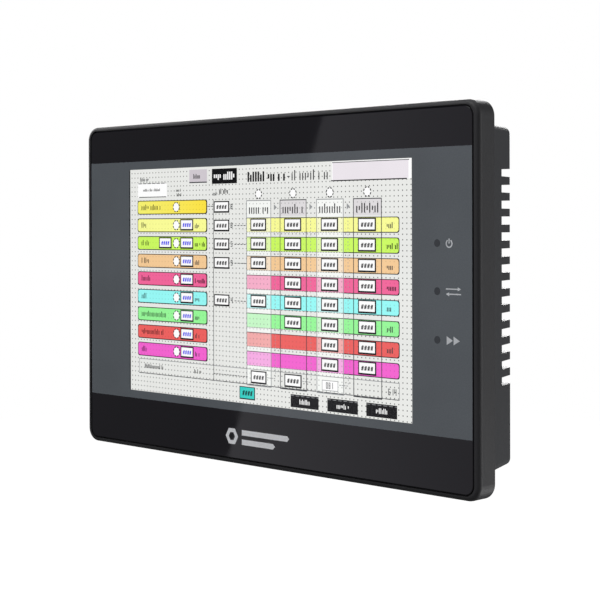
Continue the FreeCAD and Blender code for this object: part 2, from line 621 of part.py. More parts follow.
def rear_cover():
    """Housing behind the panel: vents, connector wall, clamp slots, posts and the raised box."""
    half_h = BODY_H / 2
    body = tapered(BODY_W, BODY_BACK_W, 0, BODY_STRAIGHT, BODY_DEPTH, -half_h, half_h)
    body = body.makeFillet(BODY_R, corner_edges(body, -BODY_H))
    body = body.makeFillet(1.0, back_edges(body, BODY_DEPTH))
    lid = tapered(BOX_BASE_W, BOX_BACK_W, BODY_DEPTH - 3, BODY_DEPTH - 3, BOX_DEPTH, BOX_BOTTOM, BOX_TOP)
    lid = lid.makeFillet(BODY_R, corner_edges(lid, 0))
    lid = lid.makeFillet(BODY_R, back_edges(lid, BOX_DEPTH))
    bay = box(-BAY_W / 2, BAY_W / 2, BAY_FLOOR, BOX_DEPTH + 5, -half_h - 1, BOX_BOTTOM)
    outside = body.fuse(lid).cut(bay)

    inner_h = half_h - WALL
    inside = tapered(
        BODY_W - 2 * WALL, BODY_BACK_W - 2 * WALL, -1, BODY_STRAIGHT, BODY_DEPTH - WALL, -inner_h, inner_h
    )
    lid_inside = tapered(
        BOX_BASE_W - 2 * BOX_WALL,
        BOX_BACK_W - 2 * BOX_WALL,
        BODY_DEPTH - 3,
        BODY_DEPTH - 3,
        BOX_DEPTH - BOX_WALL,
        BOX_BOTTOM + BOX_WALL,
        BOX_TOP - BOX_WALL,
    )
    bay_shell = box(
        -BAY_W / 2 - BOX_WALL, BAY_W / 2 + BOX_WALL, BAY_FLOOR - BOX_WALL, 50, -half_h - 1, BOX_BOTTOM + BOX_WALL
    )
    cover = outside.cut(inside.fuse(lid_inside).cut(bay_shell))

    for x, z in COVER_SCREWS:
        cover = cover.fuse(rod_y(x, z, BOSS_R + 0.5, COVER_SPLIT, BODY_DEPTH).common(outside))
    for x, z in BOARD_POSTS:
        cover = cover.fuse(rod_y(x, z, 2.4, BOARD_BACK, BOX_DEPTH).common(outside))
    for x, z in COVER_SCREWS:
        cover = cover.cut(rod_y(x, z, 1.4, 0, 20)).cut(rod_y(x, z, 2.6, 16.2, 20))
    for x, z in BOARD_POSTS:
        cover = cover.cut(rod_y(x, z, 1.1, 0, 15.5))

    for side in (-1, 1):
        near = side * VENT_INBOARD
        far = side * BODY_W
        low, high = sorted((near, far))
        for row in range(VENT_COUNT):
            z = VENT_CENTRE + VENT_PITCH * (row - (VENT_COUNT - 1) / 2)
            cover = cover.cut(box(low, high, VENT_START, 25, z - VENT_H / 2, z + VENT_H / 2))
    for x in (-35.0, 35.0):
        cover = cover.cut(box(x - 5, x + 5, 3.4, 6.6, -half_h - 1, half_h + 1))
    return port_openings(cover).removeSplitter()


def port_openings(cover):
    """Openings in the connector wall, and the shallow bed of the rating plate."""
    low = BOX_BOTTOM - 0.5
    high = BOX_BOTTOM + BOX_WALL + 0.2
    for cx in COM_X.values():
        cover = cover.cut(d_prism(cx, D_WIDTH + 0.6, D_HEIGHT + 0.6, low, high, 2.6))
        for side in (-1, 1):
            cover = cover.cut(rod_z(cx + side * JACK_SPACING / 2, COM_Y, 1.5, low, high))
    half = USB_W / 2 + 0.3
    cover = cover.cut(box(USB_X - half, USB_X + half, 7.8, BOARD_BACK + USB_H + 0.3, low, high))
    half = DIP_W / 2 + 0.2
    cover = cover.cut(box(DIP_X - half, DIP_X + half, 7.8, BOARD_BACK + DIP_H + 0.2, low, high))
    cover = cover.cut(rod_z(RESET_X, RESET_Y, 1.6, low, high))
    half = HEADER_W / 2 + 0.2
    cover = cover.cut(box(POWER_X - half, POWER_X + half, 7.8, HEADER_BACK_Y + 0.2, low, high))
    return cover.cut(slab(62.0, 34.0, BOX_DEPTH - 0.3, BOX_DEPTH + 1, 1.5, 0, 8))


def fasteners_and_plate():
    """Rear screws and the blank rating plate."""
    screws = [screw_y(x, z, 2.4, 2.0, SCREW_R, -1.5, 16.2) for x, z in COVER_SCREWS]
    save("cover_screws", *screws)
    save("rating_plate", slab(61.6, 33.6, BOX_DEPTH - 0.3, BOX_DEPTH - 0.05, 1.3, 0, 8))


os.makedirs("parts", exist_ok=True)
save("front_bezel", front_bezel())
save("panel_gasket", gasket_outline(-1.2, 0.6))
save("front_overlay", front_overlay())
touch_layers()
display_module()
display_bracket()
light_pipes()
save("mainboard", mainboard())
board_parts()
for port, place in COM_X.items():
    serial_port(port, place)
usb_port()
dip_switch()
reset_switch()
power_header()
power_plug()
save("rear_cover", rear_cover())
fasteners_and_plate()
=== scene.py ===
"""Looks of the operator panel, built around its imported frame. Metres, +Z up, +X right, +Y to the rear."""

import math
import random

import bmesh
import bpy
from mathutils import Matrix, Vector


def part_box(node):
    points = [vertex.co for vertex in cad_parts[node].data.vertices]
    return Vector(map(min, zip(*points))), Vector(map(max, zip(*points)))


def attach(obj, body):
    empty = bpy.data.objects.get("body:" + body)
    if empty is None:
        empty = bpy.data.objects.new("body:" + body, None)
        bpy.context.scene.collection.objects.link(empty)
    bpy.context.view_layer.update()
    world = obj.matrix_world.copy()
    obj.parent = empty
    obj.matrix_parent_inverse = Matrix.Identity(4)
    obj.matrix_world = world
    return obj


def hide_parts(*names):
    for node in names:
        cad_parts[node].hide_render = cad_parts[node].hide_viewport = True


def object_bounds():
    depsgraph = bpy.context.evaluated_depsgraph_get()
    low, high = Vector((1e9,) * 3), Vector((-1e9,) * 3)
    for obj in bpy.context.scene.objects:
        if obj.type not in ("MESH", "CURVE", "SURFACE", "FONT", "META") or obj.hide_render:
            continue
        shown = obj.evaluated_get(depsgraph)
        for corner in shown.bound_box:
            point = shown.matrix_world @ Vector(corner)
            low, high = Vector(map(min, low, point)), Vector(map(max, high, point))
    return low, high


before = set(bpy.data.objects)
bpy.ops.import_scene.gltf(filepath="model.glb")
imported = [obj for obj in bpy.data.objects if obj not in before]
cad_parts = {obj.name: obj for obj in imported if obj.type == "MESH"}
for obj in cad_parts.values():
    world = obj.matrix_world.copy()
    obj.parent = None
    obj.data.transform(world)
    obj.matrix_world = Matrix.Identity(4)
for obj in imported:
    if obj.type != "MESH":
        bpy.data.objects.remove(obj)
CAD_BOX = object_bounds()
MM = 0.001

# ---------------------------------------------------------------- places, from the frame where it has them

OVERLAY_LOW, OVERLAY_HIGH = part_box("front_overlay")
FRONT_Y = OVERLAY_LOW.y
PIPES_LOW, PIPES_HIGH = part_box("light_pipes")
LAMP_X = (PIPES_LOW.x + PIPES_HIGH.x) / 2
LAMP_R = 0.95 * MM
LAMP_TOP = PIPES_HIGH.z - 1.25 * MM
LAMP_BOTTOM = PIPES_LOW.z + 1.25 * MM

# Clear window in the printed overlay, as two x and two z limits, and the z limits of the grey band round it
WINDOW = (-55.0 * MM, 54.75 * MM, -30.97 * MM, 34.55 * MM)
GREY_BAND = (-33.23 * MM, 36.9 * MM)
OVERLAY_CORNER = 2.5 * MM
OVERLAY_BEVEL = 0.15 * MM
OVERLAY_FACE = FRONT_Y + 0.012 * MM  # the printed marks fill the last hundredth of a millimetre
OVERLAY_BACK = FRONT_Y + 0.37 * MM
PICTURE_Y = FRONT_Y + 0.385 * MM

# Camera: place in metres, then degrees for its turn from +Y towards -X, downward tilt and roll
CAMERA_PLACE = (0.28749, -0.2828, 0.01814)
CAMERA_TURN = 44.42
CAMERA_DOWN = 0.23
CAMERA_ROLL = -0.14
CAMERA_LENS = 87.97
CAMERA_SHIFT = -0.1158

# Two points of the front, as x and z, that the edge of the mirrored card passes through
CARD_EDGE = ((0.025, 0.0471), (-0.0092, -0.0395))

# The display has 800 by 480 dots behind the window, counted from its top left corner
DOTS_WIDE = 800
DOTS_HIGH = 480
GRID_STEP = 10
PICTURE_LEVEL = 1.07


# ---------------------------------------------------------------- node helpers


class Shader:
    """A material with short calls for its nodes."""

    def __init__(self, name):
        self.material = bpy.data.materials.new(name)
        self.material.use_nodes = True
        self.tree = self.material.node_tree
        self.surface = self.tree.nodes["Principled BSDF"]

    def node(self, kind, **values):
        made = self.tree.nodes.new("ShaderNode" + kind)
        for key, value in values.items():
            setattr(made, key, value)
        return made

    def link(self, source, target):
        self.tree.links.new(source, target)

    def set(self, **values):
        for key, value in values.items():
            self.surface.inputs[key.replace("_", " ")].default_value = value

    def place(self):
        return self.node("TexCoord").outputs["Object"]

    def stretched(self, scale):
        """Object coordinates multiplied by a scale for each axis."""
        mapping = self.node("Mapping")
        mapping.inputs["Scale"].default_value = scale
        self.link(self.place(), mapping.inputs["Vector"])
        return mapping.outputs[0]

    def noise(self, size, detail=3.0, rough=0.55, place=None):
        """Noise whose features are about size metres across."""
        made = self.node("TexNoise")
        made.inputs["Scale"].default_value = 1 / size if place is None else 1.0
        made.inputs["Detail"].default_value = detail
        made.inputs["Roughness"].default_value = rough
        self.link(place or self.place(), made.inputs["Vector"])
        return made.outputs["Fac"]

    def cells(self, size):
        """Distance from the middle of the nearest cell, with cells about size metres across."""
        made = self.node("TexVoronoi", feature="F1")
        made.inputs["Scale"].default_value = 1 / size
        self.link(self.place(), made.inputs["Vector"])
        return made.outputs["Distance"]

    def span(self, value, low, high, start=0.0, end=1.0):
        """Maps value from [start, end] to [low, high]."""
        made = self.node("MapRange")
        made.inputs["From Min"].default_value = start
        made.inputs["From Max"].default_value = end
        made.inputs["To Min"].default_value = low
        made.inputs["To Max"].default_value = high
        self.link(value, made.inputs["Value"])
        return made.outputs["Result"]

    def blend(self, value, first, second):
        """Two colours mixed by value."""
        made = self.node("Mix", data_type="RGBA")
        self.link(value, made.inputs["Factor"])
        for key, colour in (("A", first), ("B", second)):
            if isinstance(colour, (tuple, list)):
                made.inputs[SOCKETS[key]].default_value = (*colour, 1.0)
            else:
                self.link(colour, made.inputs[SOCKETS[key]])
        return made.outputs[2]

    def maths(self, operation, first, second=None):
        made = self.node("Math", operation=operation)
        for index, value in enumerate((first, second)):
            if isinstance(value, (int, float)):
                made.inputs[index].default_value = value
            elif value is not None:
                self.link(value, made.inputs[index])
        return made.outputs[0]

    def axis(self, name):
        made = self.node("SeparateXYZ")
        self.link(self.place(), made.inputs[0])
        return made.outputs[name]

    def colour(self, source):
        self.link(source, self.surface.inputs["Base Color"])

    def roughness(self, source):
        self.link(source, self.surface.inputs["Roughness"])

    def bumps(self, *layers):
        """Bump from (height, depth in metres) pairs, stacked."""
        before = None
        for height, depth in layers:
            made = self.node("Bump")
            made.inputs["Strength"].default_value = 1.0
            made.inputs["Distance"].default_value = depth
            self.link(height, made.inputs["Height"])
            if before is not None:
                self.link(before, made.inputs["Normal"])
            before = made.outputs[0]
        self.link(before, self.surface.inputs["Normal"])


SOCKETS = {"A": 6, "B": 7}  # colour inputs of the Mix node


def srgb(red, green, blue):
    """Linear colour from display values of 0 to 255."""
    linear = []
    for level in (red, green, blue):
        part = level / 255
        linear.append(part / 12.92 if part <= 0.04045 else ((part + 0.055) / 1.055) ** 2.4)
    return tuple(linear)


def shaded(colour, factor):
    return tuple(part * factor for part in colour)


# ---------------------------------------------------------------- materials


def moulded_plastic(name, colour, rough=0.52, grain=0.28 * MM, depth=0.012 * MM):
    """Spark-textured moulding: fine pits, soft gloss variation, slight paling of the grain's tops."""
    made = Shader(name)
    fine = made.noise(grain, 4.0, 0.6)
    pits = made.cells(grain * 1.6)
    patches = made.noise(16 * MM, 3.0)
    made.colour(made.blend(made.span(fine, 0.0, 1.0, 0.3, 0.75), shaded(colour, 0.82), shaded(colour, 1.2)))
    mixed = made.maths("ADD", made.span(patches, -0.05, 0.05), made.span(fine, rough - 0.06, rough + 0.06))
    made.roughness(mixed)
    made.bumps((fine, depth), (pits, depth * 0.7))
    made.set(Specular_IOR_Level=0.42)
    return made.material


def gloss_plastic(name, colour, rough=0.25, wave=1.6 * MM):
    """Smooth moulding with a faint orange peel and small gloss changes."""
    made = Shader(name)
    peel = made.noise(wave, 2.0)
    fine = made.noise(0.12 * MM, 3.0)
    made.colour(made.blend(made.span(peel, 0.0, 1.0, 0.25, 0.75), shaded(colour, 0.93), shaded(colour, 1.05)))
    made.roughness(made.span(fine, rough - 0.05, rough + 0.07))
    made.bumps((peel, 0.004 * MM), (fine, 0.0012 * MM))
    return made.material


def sheet_metal(name, colour, rough=0.3, streak=(900, 60, 60), depth=0.0015 * MM, cloudy=0.14):
    """Rolled or plated metal with fine streaks and cloudy gloss."""
    made = Shader(name)
    lines = made.noise(1.0, 3.0, 0.6, place=made.stretched(streak))
    cloud = made.noise(5 * MM, 3.0)
    tone = made.span(cloud, 0.0, 1.0, 0.3, 0.7)
    made.colour(made.blend(tone, shaded(colour, 1 - cloudy), shaded(colour, 1.06)))
    gloss_drift = made.span(cloud, -0.36 * cloudy, 0.36 * cloudy)
    made.roughness(made.maths("ADD", made.span(lines, rough - 0.08, rough + 0.08), gloss_drift))
    made.bumps((lines, depth))
    made.set(Metallic=1.0)
    return made.material


def printed_ink(name, colour, sparkle=0.0):
    """Back-printed polyester seen through its gloss face: dust, faint wipe marks, ink mottle."""
    made = Shader(name)
    mottle = made.noise(0.35 * MM, 4.0, 0.6)
    cloud = made.noise(22 * MM, 2.0)
    tone = made.maths("ADD", made.span(mottle, 0.0, 0.5, 0.3, 0.7), made.span(cloud, 0.0, 0.5, 0.3, 0.7))
    made.colour(made.blend(tone, shaded(colour, 0.9 - sparkle), shaded(colour, 1.1 + sparkle)))
    wipes = made.noise(1.0, 3.0, 0.5, place=made.stretched((40, 40, 160)))
    specks = made.span(made.cells(2.6 * MM), 0.12, 0.0, 0.02, 0.08)
    made.roughness(made.maths("ADD", made.span(wipes, 0.015, 0.05, 0.3, 0.75), specks))
    made.bumps((made.noise(6 * MM, 2.0), 0.0015 * MM), (mottle, 0.0004 * MM))
    made.set(IOR=1.5)
    return made.material


def clear_window(name):
    """Clear polyester: it shows what lies behind it and mirrors a little at its front surface."""
    made = Shader(name)
    made.tree.nodes.remove(made.surface)
    through = made.node("BsdfTransparent")
    gloss = made.node("BsdfGlossy")
    made.link(made.span(made.noise(9 * MM, 3.0), 0.03, 0.07, 0.3, 0.7), gloss.inputs["Roughness"])
    edge = made.node("Fresnel")
    edge.inputs["IOR"].default_value = 1.5
    front = made.maths("SUBTRACT", 1.0, made.node("NewGeometry").outputs["Backfacing"])
    mixed = made.node("MixShader")
    made.link(made.maths("MULTIPLY", edge.outputs[0], front), mixed.inputs[0])
    made.link(through.outputs[0], mixed.inputs[1])
    made.link(gloss.outputs[0], mixed.inputs[2])
    made.link(mixed.outputs[0], made.tree.nodes["Material Output"].inputs["Surface"])
    return made.material


def lit_dots(name, colour, grid=0.0, left_colour=None):
    """Part of the lit picture, with slight unevenness and fine dots. It may have a dotted grid, or fade from
    another colour at the left."""
    made = Shader(name)
    drift = made.noise(14 * MM, 2.0)
    fine = made.noise(0.14 * MM, 2.0)
    tone = made.blend(made.span(drift, 0.0, 1.0, 0.3, 0.7), shaded(colour, 0.975), shaded(colour, 1.01))
    if left_colour:
        fade_end = WINDOW[0] + 0.3 * (WINDOW[1] - WINDOW[0])
        fade = made.span(made.axis("X"), 1.0, 0.0, WINDOW[0], fade_end)
        tone = made.blend(fade, tone, left_colour)
    tone = made.blend(made.span(fine, 0.0, 0.08, 0.45, 0.75), tone, (0.0, 0.0, 0.0))
    if grid:
        tone = made.blend(layout_grid(made, grid), tone, shaded(colour, 0.2))
    made.set(Base_Color=(0.0, 0.0, 0.0, 1.0), Roughness=0.5, Specular_IOR_Level=0.0)
    made.set(Emission_Strength=PICTURE_LEVEL)
    made.link(tone, made.surface.inputs["Emission Color"])
    made.material.cycles.emission_sampling = "NONE"
    return made.material


def layout_grid(made, amount):
    """Small dark dots, one grid step apart."""
    step_x = (WINDOW[1] - WINDOW[0]) / DOTS_WIDE * GRID_STEP
    step_z = (WINDOW[3] - WINDOW[2]) / DOTS_HIGH * GRID_STEP
    near = []
    for axis, step in (("X", step_x), ("Z", step_z)):
        turns = made.maths("MULTIPLY", made.axis(axis), 1 / step)
        part = made.maths("FRACT", turns)
        from_middle = made.maths("ABSOLUTE", made.maths("SUBTRACT", part, 0.5))
        near.append(made.maths("LESS_THAN", from_middle, 0.12))
    return made.maths("MULTIPLY", made.maths("MULTIPLY", near[0], near[1]), amount)


def rubber(name, colour):
    made = Shader(name)
    skin = made.noise(0.4 * MM, 3.0)
    made.colour(made.blend(skin, shaded(colour, 0.8), shaded(colour, 1.25)))
    made.roughness(made.span(skin, 0.62, 0.85))
    made.bumps((skin, 0.01 * MM))
    return made.material


def solder_mask(name):
    """Green board: mask over copper tracks, with a fine glass weave under it."""
    made = Shader(name)
    weave = made.noise(1.0, 1.0, 0.4, place=made.stretched((1500, 1500, 1500)))
    tracks = made.node("TexBrick")
    tracks.inputs["Scale"].default_value = 150.0
    tracks.inputs["Mortar Size"].default_value = 0.06
    made.link(made.stretched((1.0, 1.0, 1.0)), tracks.inputs["Vector"])
    dark, bright = srgb(14, 66, 34), srgb(34, 112, 58)
    made.colour(made.blend(made.maths("MULTIPLY", tracks.outputs["Fac"], 0.9), dark, bright))
    made.roughness(made.span(weave, 0.25, 0.45))
    made.bumps((tracks.outputs["Fac"], 0.02 * MM), (weave, 0.004 * MM))
    return made.material


INK_BLACK = printed_ink("ink_black", srgb(20, 18, 26))
INK_GREY = printed_ink("ink_grey", srgb(102, 108, 114), 0.05)
CLEAR = clear_window("clear_polyester")
SILVER_INK = printed_ink("ink_silver", srgb(245, 246, 250), 0.03)
LABEL_INK = printed_ink("ink_label", srgb(222, 225, 230), 0.03)
BEZEL = moulded_plastic("bezel_plastic", srgb(38, 38, 41), 0.5)
HOUSING = moulded_plastic("housing_plastic", srgb(50, 51, 54), 0.55)

# ---------------------------------------------------------------- flat raised shapes


class Relief:
    """Thin closed shapes standing on one upright plane, joined into one piece. Facing is -1 for the front."""

    def __init__(self, name, plane, rise, facing=-1):
        self.name = name
        self.plane = plane
        self.rise = rise
        self.facing = facing
        self.points = []
        self.faces = []
        self.tones = []
        self.materials = []

    def add(self, outline, material, level=1):
        """outline: (x, z) points, anticlockwise as the operator sees them."""
        if material not in self.materials:
            self.materials.append(material)
        start = len(self.points)
        count = len(outline)
        if self.facing > 0:
            outline = outline[::-1]
        front = self.plane + self.facing * self.rise * level
        self.points += [(x, front, z) for x, z in outline]
        self.points += [(x, self.plane, z) for x, z in outline]
        self.faces.append(tuple(range(start, start + count)))
        self.faces.append(tuple(range(start + 2 * count - 1, start + count - 1, -1)))
        for index in range(count):
            after = (index + 1) % count
            self.faces.append((start + after, start + index, start + count + index, start + count + after))
        self.tones += [self.materials.index(material)] * (count + 2)

    def hollow(self, x0, x1, z0, z1, width, material, level=1):
        """A rectangular frame of even width."""
        self.add(rect(x0, x1, z1 - width, z1), material, level)
        self.add(rect(x0, x1, z0, z0 + width), material, level)
        self.add(rect(x0, x0 + width, z0 + width, z1 - width), material, level)
        self.add(rect(x1 - width, x1, z0 + width, z1 - width), material, level)

    def build(self, body="root"):
        mesh = bpy.data.meshes.new(self.name)
        mesh.from_pydata(self.points, [], self.faces)
        for material in self.materials:
            mesh.materials.append(material)
        mesh.polygons.foreach_set("material_index", self.tones)
        mesh.update()
        return shown(self.name, mesh, body)


def shown(name, mesh, body):
    made = bpy.data.objects.new(name, mesh)
    bpy.context.scene.collection.objects.link(made)
    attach(made, body)
    return made


def rect(x0, x1, z0, z1):
    return [(x0, z0), (x1, z0), (x1, z1), (x0, z1)]


def disc(x, z, radius, sides=32):
    turns = [2 * math.pi * step / sides for step in range(sides)]
    return [(x + radius * math.cos(turn), z + radius * math.sin(turn)) for turn in turns]


def arc(x, z, radius, start, end, steps=8):
    """Points of an arc between two angles in degrees."""
    made = []
    for step in range(steps + 1):
        turn = math.radians(start + (end - start) * step / steps)
        made.append((x + radius * math.cos(turn), z + radius * math.sin(turn)))
    return made


def band(x, z, outer, inner, start, end, steps=24):
    """A curved stroke: part of a ring."""
    return arc(x, z, outer, start, end, steps) + arc(x, z, inner, end, start, steps)


# ---------------------------------------------------------------- printed overlay


def overlay_sheet():
    """Overlay as one closed sheet: bevelled rim, black bands, grey band and clear window."""
    left, right = OVERLAY_LOW.x, OVERLAY_HIGH.x
    low, high = OVERLAY_LOW.z, OVERLAY_HIGH.z
    rim = OVERLAY_BEVEL
    zones = overlay_zones(left + rim, right - rim, low + rim, high - rim)
    points, faces, tones = [], [], []

    def ring_points(outline, y):
        start = len(points)
        points.extend((x, y, z) for x, z in outline)
        return list(range(start, start + len(outline)))

    for outline, tone in zones:
        faces.append(tuple(ring_points(outline, OVERLAY_FACE)))
        tones.append(tone)
        faces.append(tuple(reversed(ring_points(outline, OVERLAY_BACK))))
        tones.append(tone)
    inner = zones_rim(zones)
    outer = [
        (x + OVERLAY_BEVEL * nx, z + OVERLAY_BEVEL * nz)
        for (x, z), (nx, nz) in zip(inner, rim_normals(inner))
    ]
    loops = [
        ring_points(inner, OVERLAY_FACE),
        ring_points(outer, OVERLAY_FACE + OVERLAY_BEVEL),
        ring_points(outer, OVERLAY_BACK),
        ring_points(inner, OVERLAY_BACK),
    ]
    for first, second in zip(loops, loops[1:]):
        for index in range(len(inner)):
            after = (index + 1) % len(inner)
            faces.append((first[after], first[index], second[index], second[after]))
            tones.append(0)
    mesh = bpy.data.meshes.new("overlay_sheet")
    mesh.from_pydata(points, [], faces)
    for material in (INK_BLACK, INK_GREY, CLEAR):
        mesh.materials.append(material)
    mesh.polygons.foreach_set("material_index", tones)
    weld(mesh)
    made = shown("overlay_sheet", mesh, "root")
    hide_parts("front_overlay")


def weld(mesh):
    """Joins corners that lie on each other, so that the sheet is closed."""
    shape = bmesh.new()
    shape.from_mesh(mesh)
    bmesh.ops.remove_doubles(shape, verts=shape.verts, dist=1e-7)
    bmesh.ops.recalc_face_normals(shape, faces=shape.faces)
    shape.to_mesh(mesh)
    shape.free()


def overlay_zones(left, right, low, high):
    """Outlines of the overlay's zones with their material numbers: 0 black, 1 grey, 2 clear."""
    win_x0, win_x1, win_z0, win_z1 = WINDOW
    grey_z0, grey_z1 = GREY_BAND
    radius = OVERLAY_CORNER - OVERLAY_BEVEL
    top = [(left, grey_z1), (right, grey_z1)] + arc(right - radius, high - radius, radius, 0, 90)
    top += arc(left + radius, high - radius, radius, 90, 180)
    bottom = arc(left + radius, low + radius, radius, 180, 270)
    bottom += arc(right - radius, low + radius, radius, 270, 360) + [(right, grey_z0), (left, grey_z0)]
    across = (left, win_x0, win_x1, right)
    under = [(left, grey_z0), (right, grey_z0)] + [(x, win_z0) for x in reversed(across)]
    over = [(x, win_z1) for x in across] + [(right, grey_z1), (left, grey_z1)]
    return [
        (top, 0),
        (bottom, 0),
        (under, 1),
        (over, 1),
        (rect(left, win_x0, win_z0, win_z1), 1),
        (rect(win_x1, right, win_z0, win_z1), 1),
        (rect(*WINDOW), 2),
    ]


def zones_rim(zones):
    """The outer outline of the zones, anticlockwise, with every corner that a zone has on it."""
    top, bottom = zones[0][0], zones[1][0]
    right = [(top[1][0], z) for z in (WINDOW[2], WINDOW[3])]
    left = [(top[0][0], z) for z in (WINDOW[3], WINDOW[2])]
    return bottom[:-1] + right + top[1:] + [top[0]] + left + [bottom[-1]]


def rim_normals(outline):
    """Outward directions at the corners of an anticlockwise outline, long enough to keep the rim even."""
    normals = []
    count = len(outline)
    for index, (x, z) in enumerate(outline):
        before, after = outline[index - 1], outline[(index + 1) % count]
        first = Vector((z - before[1], before[0] - x)).normalized()
        second = Vector((after[1] - z, x - after[0])).normalized()
        middle = first + second
        normals.append(middle / (1 + first.dot(second)))
    return [(normal.x, normal.y) for normal in normals]


# ---------------------------------------------------------------- lit picture

ROW_TOP = 69
ROW_STEP = 38.2
ROW_HIGH = 27
ROW_ROUND = 5
PALE_TO = 250
BAR_COLOURS = (
    (252, 226, 66),
    (250, 252, 150),
    (203, 249, 96),
    (244, 202, 150),
    (240, 100, 153),
    (150, 248, 245),
    (150, 247, 152),
    (236, 96, 94),
    (243, 98, 207),
)

# The four step columns: left edge, right edge, and the rows that have a number box there
COLUMNS = (
    (366, 437, (1, 2, 3, 5)),
    (461, 534, (1, 2, 3, 4, 5, 6)),
    (560, 631, (1, 2, 3, 4, 5, 6, 7, 8)),
    (655, 726, (1, 2, 3, 4, 5, 6, 7, 8)),
)
NAME_WIDTHS = (68, 18, 24, 26, 28, 18, 80, 72, 18)
MIDDLE_ROWS = (0, 1, 2, 3, 5)  # rows with a box in the narrow column
DARK_UNITS = (2, 4)  # rows whose marks after the number are wider and darker
LETTERING_SEED = 5


def dot_x(x):
    return WINDOW[0] + (WINDOW[1] - WINDOW[0]) * x / DOTS_WIDE


def dot_z(y):
    return WINDOW[3] - (WINDOW[3] - WINDOW[2]) * y / DOTS_HIGH


DOT = dot_x(1) - dot_x(0)


def row_y(row):
    return ROW_TOP + ROW_STEP * row


class Picture(Relief):
    """The lit picture: everything is placed in picture dots."""

    def __init__(self):
        super().__init__("lit_picture", PICTURE_Y + 0.012 * MM, 0.004 * MM)
        self.paper = lit_dots("lit_paper", srgb(232, 233, 230), grid=1.0)
        self.panel = lit_dots("lit_panel", srgb(246, 248, 245), grid=0.6)
        self.white = lit_dots("lit_white", srgb(254, 254, 254))
        self.dark = lit_dots("lit_dark", srgb(8, 8, 12))
        self.line = lit_dots("lit_line", srgb(58, 60, 64))
        self.faint = lit_dots("lit_faint", srgb(150, 152, 154))
        self.blue = lit_dots("lit_blue", srgb(44, 36, 232))
        self.shaded = lit_dots("lit_shaded", srgb(222, 219, 221), grid=0.5)
        self.heading = lit_dots("lit_heading", srgb(234, 228, 234))
        self.button = lit_dots("lit_button", srgb(206, 199, 206))
        self.teal = lit_dots("lit_teal", srgb(52, 206, 196))
        self.bars = []
        self.pale = []
        for row, colour in enumerate(BAR_COLOURS):
            fade_from = None if row else srgb(244, 243, 116)
            pale = [(part + PALE_TO) / 2 for part in colour]
            self.bars.append(lit_dots("lit_bar_%d" % row, srgb(*colour), 0.25, fade_from))
            self.pale.append(lit_dots("lit_pale_%d" % row, srgb(*pale), 0.5))
        self.random = random.Random(LETTERING_SEED)

    def block(self, x0, x1, y0, y1, material, level=2):
        self.add(rect(dot_x(x0), dot_x(x1), dot_z(y1), dot_z(y0)), material, level)

    def plate(self, x0, x1, y0, y1, material, level=2, ends="both"):
        """A block with rounded corners at both ends, or at one."""
        round_left = ROW_ROUND * DOT if ends != "right" else 0.05 * DOT
        round_right = ROW_ROUND * DOT if ends != "left" else 0.05 * DOT
        left, right, low, high = dot_x(x0), dot_x(x1), dot_z(y1), dot_z(y0)
        outline = arc(left + round_left, low + round_left, round_left, 180, 270, 5)
        outline += arc(right - round_right, low + round_right, round_right, 270, 360, 5)
        outline += arc(right - round_right, high - round_right, round_right, 0, 90, 5)
        outline += arc(left + round_left, high - round_left, round_left, 90, 180, 5)
        self.add(outline, material, level)

    def frame(self, x0, x1, y0, y1, width, material, level=4, heavy=0.0):
        """A hollow box; heavy widens its right and bottom sides."""
        self.block(x0, x1, y0, y0 + width, material, level)
        self.block(x0, x1, y1 - width - heavy, y1, material, level)
        self.block(x0, x0 + width, y0 + width, y1 - width - heavy, material, level)
        self.block(x1 - width - heavy, x1, y0 + width, y1 - width - heavy, material, level)

    def dashes(self, x0, x1, y, material, dash=6, gap=3, level=3, width=1.6):
        x = x0
        while x < x1:
            self.block(x, min(x + dash, x1), y - width / 2, y + width / 2, material, level)
            x += dash + gap

    def drops(self, x, y0, y1, material, dash=3, gap=3.5, level=3):
        """A dotted upright line."""
        y = y0
        while y < y1:
            self.block(x - 0.7, x + 0.7, y, min(y + dash, y1), material, level)
            y += dash + gap

    def ticks(self, x0, x1, y0, y1, material, bold=0.2, level=5):
        """Stand-in for lettering: upright strokes of uneven height with a few dots, and no letters."""
        tall = y1 - y0
        pitch, stem = tall * 0.36, tall * bold
        x = x0
        while x + stem <= x1:
            kind = self.random.random()
            top = y0 + tall * (0.0 if kind < 0.25 else 0.3)
            foot = y1 if kind < 0.85 else y1 - tall * 0.25
            self.block(x, x + stem, top, foot, material, level)
            x += pitch * (2.0 if self.random.random() < 0.14 else 1.0)

    def digits(self, x0, x1, y0, y1, material, count=4, level=6):
        """Seven-bar numerals."""
        pitch = (x1 - x0) / count
        width, stroke = pitch * 0.66, pitch * 0.2
        for index in range(count):
            x = x0 + pitch * (index + 0.12)
            lit = SEGMENTS[self.random.randrange(10)]
            middle = (y0 + y1) / 2
            levels = (y0, middle - stroke / 2, y1 - stroke)
            for on, y in zip(lit[:3], levels):
                if on:
                    self.block(x, x + width, y, y + stroke, material, level)
            halves = ((x, y0), (x + width - stroke, y0), (x, middle), (x + width - stroke, middle))
            for on, (edge, top) in zip(lit[3:], halves):
                if on:
                    self.block(edge, edge + stroke, top, top + (y1 - y0) / 2, material, level)

    def hashes(self, x0, x1, y0, y1, material, count=4, level=6):
        """The row of hash signs that a number box shows while it has no value."""
        pitch = (x1 - x0) / count
        tall = y1 - y0
        stroke, lean = pitch * 0.25, tall * 0.22
        for index in range(count):
            left = x0 + pitch * (index + 0.1)
            for start in (left, left + pitch * 0.34):
                foot, top = dot_x(start), dot_x(start + lean)
                wide = stroke * DOT
                low, high = dot_z(y1), dot_z(y0)
                self.add([(foot, low), (foot + wide, low), (top + wide, high), (top, high)], material, level)
            for y in (y0 + tall * 0.28, y0 + tall * 0.6):
                self.block(left - pitch * 0.02, left + pitch * 0.66, y, y + stroke * 0.7, material, level)

